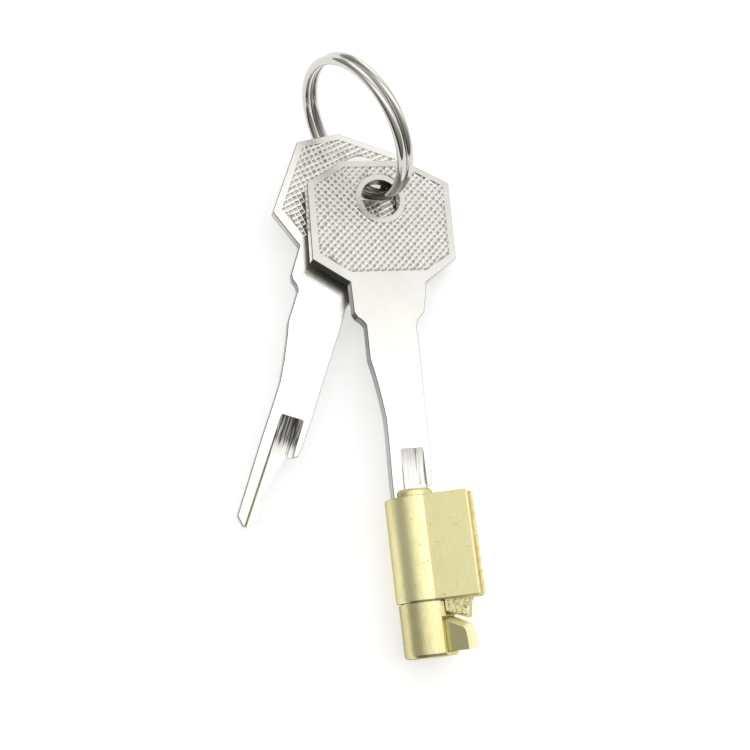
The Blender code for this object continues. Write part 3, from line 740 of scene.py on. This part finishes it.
def add_pit(shape, middle_u, middle_v, wobble):
    """Add one pit with its share of the ridges around it."""
    half = KNURL_PITCH / 2
    rings = []
    insets = (
        (0.0, 0.0, KNURL_TOP),
        (KNURL_CROSS_RIDGE, KNURL_RIDGE, KNURL_TOP - KNURL_CROWN),
        (KNURL_CROSS_RIDGE + KNURL_SLOPE, KNURL_RIDGE + KNURL_SLOPE, KNURL_BOTTOM + KNURL_WOBBLE * wobble),
    )
    for inset_u, inset_v, height in insets:
        ring = []
        for sign_u, sign_v in CORNER_SIGNS:
            u = middle_u + sign_u * (half - inset_u)
            v = middle_v + sign_v * (half - inset_v)
            ring.append(shape.verts.new(((u + v) / DIAGONAL, (u - v) / DIAGONAL, height)))
        rings.append(ring)
    for outer, inner in zip(rings, rings[1:]):
        for number in range(4):
            after = (number + 1) % 4
            shape.faces.new((outer[after], outer[number], inner[number], inner[after]))
    shape.faces.new(rings[-1][::-1])


# ---- Pocket and groove of a key ----------------------------------------------

POCKET_LEFT = -1.5 * MM
POCKET_RIGHT = 2.45 * MM
POCKET_TOP = 8.05 * MM
POCKET_RUN = 4.6 * MM
POCKET_FLOOR = 0.57 * MM
POCKET_LIP = 0.03 * MM
POCKET_STEP = 0.07 * MM
POCKET_RIB_HEIGHT = 0.05 * MM
POCKET_RIB_RAISE = 0.4
# Ribs across the pocket's width, how fast they change per millimetre down it, the place
# in the noise that they are drawn from, and their share.
POCKET_RIBS = ((13.6, 0.08, 4.0, 1.0), (32.0, 0.12, 9.0, 0.6))
# How far a piece stays below the key's face.
FACE_MARGIN = 0.01 * MM


def pocket_height(part, down):
    """Return the height of the pocket's floor at a part of its width and a distance down it."""
    rise = max(0.0, 1.0 - down / POCKET_RUN)
    base = POCKET_FLOOR + (KEY_FACE - POCKET_LIP - POCKET_FLOOR) * rise * rise
    ribs = 0.0
    for count, change, layer, share in POCKET_RIBS:
        ribs += share * noise_at(part * count, down / MM * change, layer)
    return min(base + POCKET_RIB_HEIGHT * (ribs + POCKET_RIB_RAISE), KEY_FACE - FACE_MARGIN)


def pocket_mesh(length):
    """Floor of the milled pocket: ribbed lengthwise, and curving up at its top end."""
    columns = int((POCKET_RIGHT - POCKET_LEFT) / POCKET_STEP)
    rows = int(length / (2 * POCKET_STEP))
    shape = bmesh.new()
    grid = []
    for row in range(rows + 1):
        down = length * row / rows
        line = []
        for column in range(columns + 1):
            part = column / columns
            x = POCKET_LEFT + (POCKET_RIGHT - POCKET_LEFT) * part - KEY_HOLE[0]
            y = POCKET_TOP - down - KEY_HOLE[1]
            line.append(shape.verts.new((x, y, pocket_height(part, down))))
        grid.append(line)
    for upper, lower in zip(grid, grid[1:]):
        for number in range(columns):
            shape.faces.new((upper[number], lower[number], lower[number + 1], upper[number + 1]))
    return thickened(finished_mesh(shape, "pocket"), SKIN)


GROOVE_TOP = 7.9 * MM
GROOVE_LENGTH = 19.4 * MM
GROOVE_LEFT = -1.5 * MM
GROOVE_DRIFT = -0.65 / 20.4
GROOVE_FLOOR = 0.54 * MM
GROOVE_SLOPE = 0.42 * MM
GROOVE_TOE = 0.02 * MM
GROOVE_BEND = 0.35 * GROOVE_SLOPE
GROOVE_BEND_HEIGHT = 0.22 * MM
GROOVE_STEPS = 40


def groove_edge_mesh():
    """Slope along the left side of a key's groove, from the key's face to the groove's floor."""
    shape = bmesh.new()
    sections = []
    profile = (
        (0.0, GROOVE_FLOOR),
        (GROOVE_SLOPE, GROOVE_FLOOR + GROOVE_TOE),
        (GROOVE_BEND, GROOVE_FLOOR + GROOVE_BEND_HEIGHT),
        (0.0, KEY_FACE - FACE_MARGIN),
    )
    for number in range(GROOVE_STEPS + 1):
        down = GROOVE_LENGTH * number / GROOVE_STEPS
        left = GROOVE_LEFT + GROOVE_DRIFT * down - KEY_HOLE[0]
        y = GROOVE_TOP - down - KEY_HOLE[1]
        sections.append([shape.verts.new((left + across, y, height)) for across, height in profile])
    join_sections(shape, sections)
    return finished_mesh(shape, "groove_edge")


def join_sections(shape, sections):
    """Skin a row of closed sections and close both ends."""
    count = len(sections[0])
    for before, after in zip(sections, sections[1:]):
        for number in range(count):
            following = (number + 1) % count
            shape.faces.new((before[number], before[following], after[following], after[number]))
    shape.faces.new(sections[0][::-1])
    shape.faces.new(sections[-1])
    bmesh.ops.recalc_face_normals(shape, faces=shape.faces)


# ---- Rough brass on the body -------------------------------------------------

GRID_WELD = 0.001 * MM


def grid_box(low, high, step):
    """Return a box as a bmesh whose sides are grids."""
    shape = bmesh.new()
    size = Vector(high) - Vector(low)
    for axis in range(3):
        first, second = [number for number in range(3) if number != axis]
        steps_a = max(1, round(size[first] / step))
        steps_b = max(1, round(size[second] / step))
        for end in (low[axis], high[axis]):
            rows = []
            for a in range(steps_a + 1):
                row = []
                for b in range(steps_b + 1):
                    spot = [0.0, 0.0, 0.0]
                    spot[axis] = end
                    spot[first] = low[first] + size[first] * a / steps_a
                    spot[second] = low[second] + size[second] * b / steps_b
                    row.append(shape.verts.new(spot))
                rows.append(row)
            for a in range(steps_a):
                for b in range(steps_b):
                    shape.faces.new((rows[a][b], rows[a + 1][b], rows[a + 1][b + 1], rows[a][b + 1]))
    bmesh.ops.remove_doubles(shape, verts=shape.verts, dist=GRID_WELD)
    bmesh.ops.recalc_face_normals(shape, faces=shape.faces)
    return shape


STRIP_LOW = (8.2 * MM, -16.6 * MM, -1.45 * MM)
STRIP_HIGH = (9.75 * MM, -0.2 * MM, 1.45 * MM)
STRIP_GRID = 0.16 * MM
# The stakes' pitch is in millimetres.
STAKE_PITCH = 1.86
STAKE_DEPTH = 0.10 * MM
STAKE_PINCH = 0.05
STRIP_LUMP_DEPTH = 0.09 * MM
STRIP_LUMP_PINCH = 0.06


def strip_mesh():
    """Cover strip, staked along both edges, so that its outer side is torn and uneven."""
    shape = grid_box(STRIP_LOW, STRIP_HIGH, STRIP_GRID)
    for vertex in shape.verts:
        out = (vertex.co.x - STRIP_LOW[0]) / (STRIP_HIGH[0] - STRIP_LOW[0])
        spot = vertex.co / MM
        lumps = noise.noise(spot * 1.3) + 0.6 * noise.noise(spot * 3.1)
        stakes = abs(math.sin(spot.y * math.pi / STAKE_PITCH))
        edge = abs(vertex.co.z) / STRIP_HIGH[2]
        vertex.co.x += out * (STRIP_LUMP_DEPTH * lumps - STAKE_DEPTH * edge * stakes)
        vertex.co.z *= 1.0 - out * (STAKE_PINCH * stakes + STRIP_LUMP_PINCH * lumps)
    return finished_mesh(shape, "strip")


# The lug's face: top left, top right, low right and low left, in millimetres along the
# fin's direction and along the lock.
LUG_CORNERS = ((3.55, -16.85), (7.45, -16.85), (6.78, -19.95), (3.75, -18.75))
LUG_LOW = 2.80 * MM
LUG_FACE = 3.02 * MM
LUG_STEPS = 34
# Thickness of the plain block that the face is shaped from, in parts of its width.
LUG_BLOCK = 0.2
# The relief fades over a sixth of the face along its border, and never below this share.
LUG_BORDER_RATE = 6.0
LUG_BORDER_RELIEF = 0.3
LUG_BORDER_HEIGHT = 0.4
# Sizes of the relief, in millimetres.
LUG_LUMPS = 0.10
LUG_CRACK = 0.22
LUG_CRACK_WIDTH = 0.12
LUG_RAG = 0.12


def lug_relief(spot, border):
    """Return how far the lug's face stands out at a spot, in millimetres."""
    lumps = noise_at(spot.x * 1.6, spot.y * 1.6, 3.0) + 0.7 * noise_at(spot.x * 3.7, spot.y * 3.7, 6.0)
    crack = abs(noise_at(spot.x * 1.1, spot.y * 1.1, 11.0))
    cut = LUG_CRACK * max(0.0, LUG_CRACK_WIDTH - crack) / LUG_CRACK_WIDTH
    return (LUG_LUMPS * lumps - cut) * min(border + LUG_BORDER_RELIEF, 1.0)


def lug_mesh():
    """Rough broken face of the lug."""
    shape = grid_box((0.0, 0.0, 0.0), (1.0, 1.0, LUG_BLOCK), 1.0 / LUG_STEPS)
    top_left, top_right, low_right, low_left = [Vector(corner) for corner in LUG_CORNERS]
    for vertex in shape.verts:
        across, down, level = vertex.co.x, vertex.co.y, vertex.co.z / LUG_BLOCK
        spot = top_left.lerp(top_right, across).lerp(low_left.lerp(low_right, across), down)
        border = min(across, 1 - across, down, 1 - down) * LUG_BORDER_RATE
        ragged = LUG_RAG * noise_at(spot.y * 2.4, spot.x * 2.4, 1.0) * (1.0 - min(border, 1.0))
        height = LUG_LOW + (LUG_FACE - LUG_LOW) * level * min(1.0, LUG_BORDER_HEIGHT + border)
        height += level * lug_relief(spot, border) * MM
        vertex.co = ((spot.x + ragged) * MM, (spot.y + ragged) * MM, height)
    return finished_mesh(shape, "lug")


# ---- Split ring --------------------------------------------------------------

RING_RADIUS = 12.3 * MM
RING_WIRE_RADIUS = 0.76 * MM
RING_TURN_OFFSET = 0.8 * MM
RING_SPIN = math.radians(12.0)
RING_STEP_ANGLE = math.radians(30.0)
RING_END_GAP_ANGLE = math.radians(6.0)
RING_POINTS = 420
WIRE_SIDES = 20


def ring_mesh():
    """Split ring: two turns of round wire, with one step from turn to turn."""
    shape = bmesh.new()
    last = 4 * math.pi - RING_STEP_ANGLE - RING_END_GAP_ANGLE
    sections = []
    for number in range(RING_POINTS + 1):
        angle = last * number / RING_POINTS
        part = min(max((angle - 2 * math.pi + RING_STEP_ANGLE) / RING_STEP_ANGLE, 0.0), 1.0)
        rise = RING_TURN_OFFSET * (2 * part * part * (3 - 2 * part) - 1)
        section = []
        for side in range(WIRE_SIDES):
            turn = 2 * math.pi * side / WIRE_SIDES
            reach = RING_RADIUS + RING_WIRE_RADIUS * math.cos(turn)
            height = rise + RING_WIRE_RADIUS * math.sin(turn)
            section.append(shape.verts.new((reach * math.cos(angle), reach * math.sin(angle), height)))
        sections.append(section)
    join_sections(shape, sections)
    return finished_mesh(shape, "ring")


def ring_matrix():
    """Place of the ring, with its own axis along Z."""
    azimuth = math.atan2(RING_AXIS.y, RING_AXIS.x)
    elevation = math.asin(RING_AXIS.z)
    turn = Matrix.Rotation(azimuth, 4, "Z") @ Matrix.Rotation(math.pi / 2 - elevation, 4, "Y")
    return Matrix.Translation(RING_PLACE) @ turn @ Matrix.Rotation(RING_SPIN, 4, "Z")


# ---- Pieces and finishes -----------------------------------------------------

KEY_POCKET_LENGTH = 6.0 * MM
KEY_POCKET_SHADE = 0.12
SPARE_POCKET_LENGTH = 6.6 * MM
SPARE_POCKET_SHADE = 0.75
# Direction of the bow's edges that get painted shade and reflection, nearly black: down and to the left,
# towards the spare key, in parts of the key's axes.
PAINTED_SHADE_SIDEWAYS = 0.55
PAINTED_SHADE_DOWN = 0.83
PIN_COUNT = 4


def make_key_pieces(name, matrix, material, pocket_length, pocket_shade, seed):
    """Make the knurling, the pocket and the groove's slope of one key."""
    for side, label in ((1, "front"), (-1, "back")):
        mesh = knurl_mesh(side, 2.0 * seed + side)
        new_piece(f"{name}_knurl_{label}", mesh, matrix, material, name)
    milled = milled_nickel(f"{name}_milled", matrix, pocket_shade)
    new_piece(f"{name}_pocket", pocket_mesh(pocket_length), matrix, milled, name)
    edge = groove_edge_nickel()
    new_piece(f"{name}_groove_edge", groove_edge_mesh(), matrix, edge, name)


def make_pieces(nickel, spare_nickel, rough, staked, ring):
    """Make every piece that adds relief to the CAD nodes."""
    make_key_pieces("key", KEY_MATRIX, nickel, KEY_POCKET_LENGTH, KEY_POCKET_SHADE, 0)
    make_key_pieces("spare", SPARE_MATRIX, spare_nickel, SPARE_POCKET_LENGTH, SPARE_POCKET_SHADE, 1)
    strip = new_piece("staked_strip", strip_mesh(), FIN_MATRIX, staked, "body")
    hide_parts("chamber_cover_strip")
    new_piece("lug_face", lug_mesh(), FIN_MATRIX, rough, "body")
    wire = new_piece("ring_wire", ring_mesh(), ring_matrix(), ring, "ring")
    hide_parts("split_ring")


def give(node, material):
    """Put one material on a CAD node."""
    item = frame["nodes"][node]
    item.data.materials.clear()
    item.data.materials.append(material)


def finish_nodes():
    """Assign every CAD node its material, and make the pieces that need the same ones."""
    steel = pin_steel()
    brass = pin_brass()
    rough = rough_brass("rough_brass")
    staked = rough_brass("staked_brass", STRIP_PAINTED_SHADE_END)
    painted_shade_side = (-KEY_SIDE * PAINTED_SHADE_SIDEWAYS - LOCK_AXIS * PAINTED_SHADE_DOWN).normalized()
    nickel = key_nickel("key_nickel", KEY_MATRIX, painted_shade_side)
    spare_nickel = key_nickel("spare_nickel", SPARE_MATRIX)
    ring = ring_nickel()
    give("lock_body", body_brass())
    give("plug", turned_brass())
    give("locking_hook", hook_brass())
    give("chamber_cover_strip", staked)
    give("plug_retaining_pin", steel)
    give("key_in_lock", nickel)
    give("spare_key", spare_nickel)
    give("split_ring", ring)
    for number in range(1, PIN_COUNT + 1):
        give(f"pin_spring_{number}", steel)
        give(f"driver_pin_{number}", brass)
        give(f"key_pin_{number}", brass)
    make_pieces(nickel, spare_nickel, rough, staked, ring)


bpy.context.scene.view_settings.view_transform = "Standard"
make_camera()
make_world()
make_floor(white_floor())
finish_nodes()
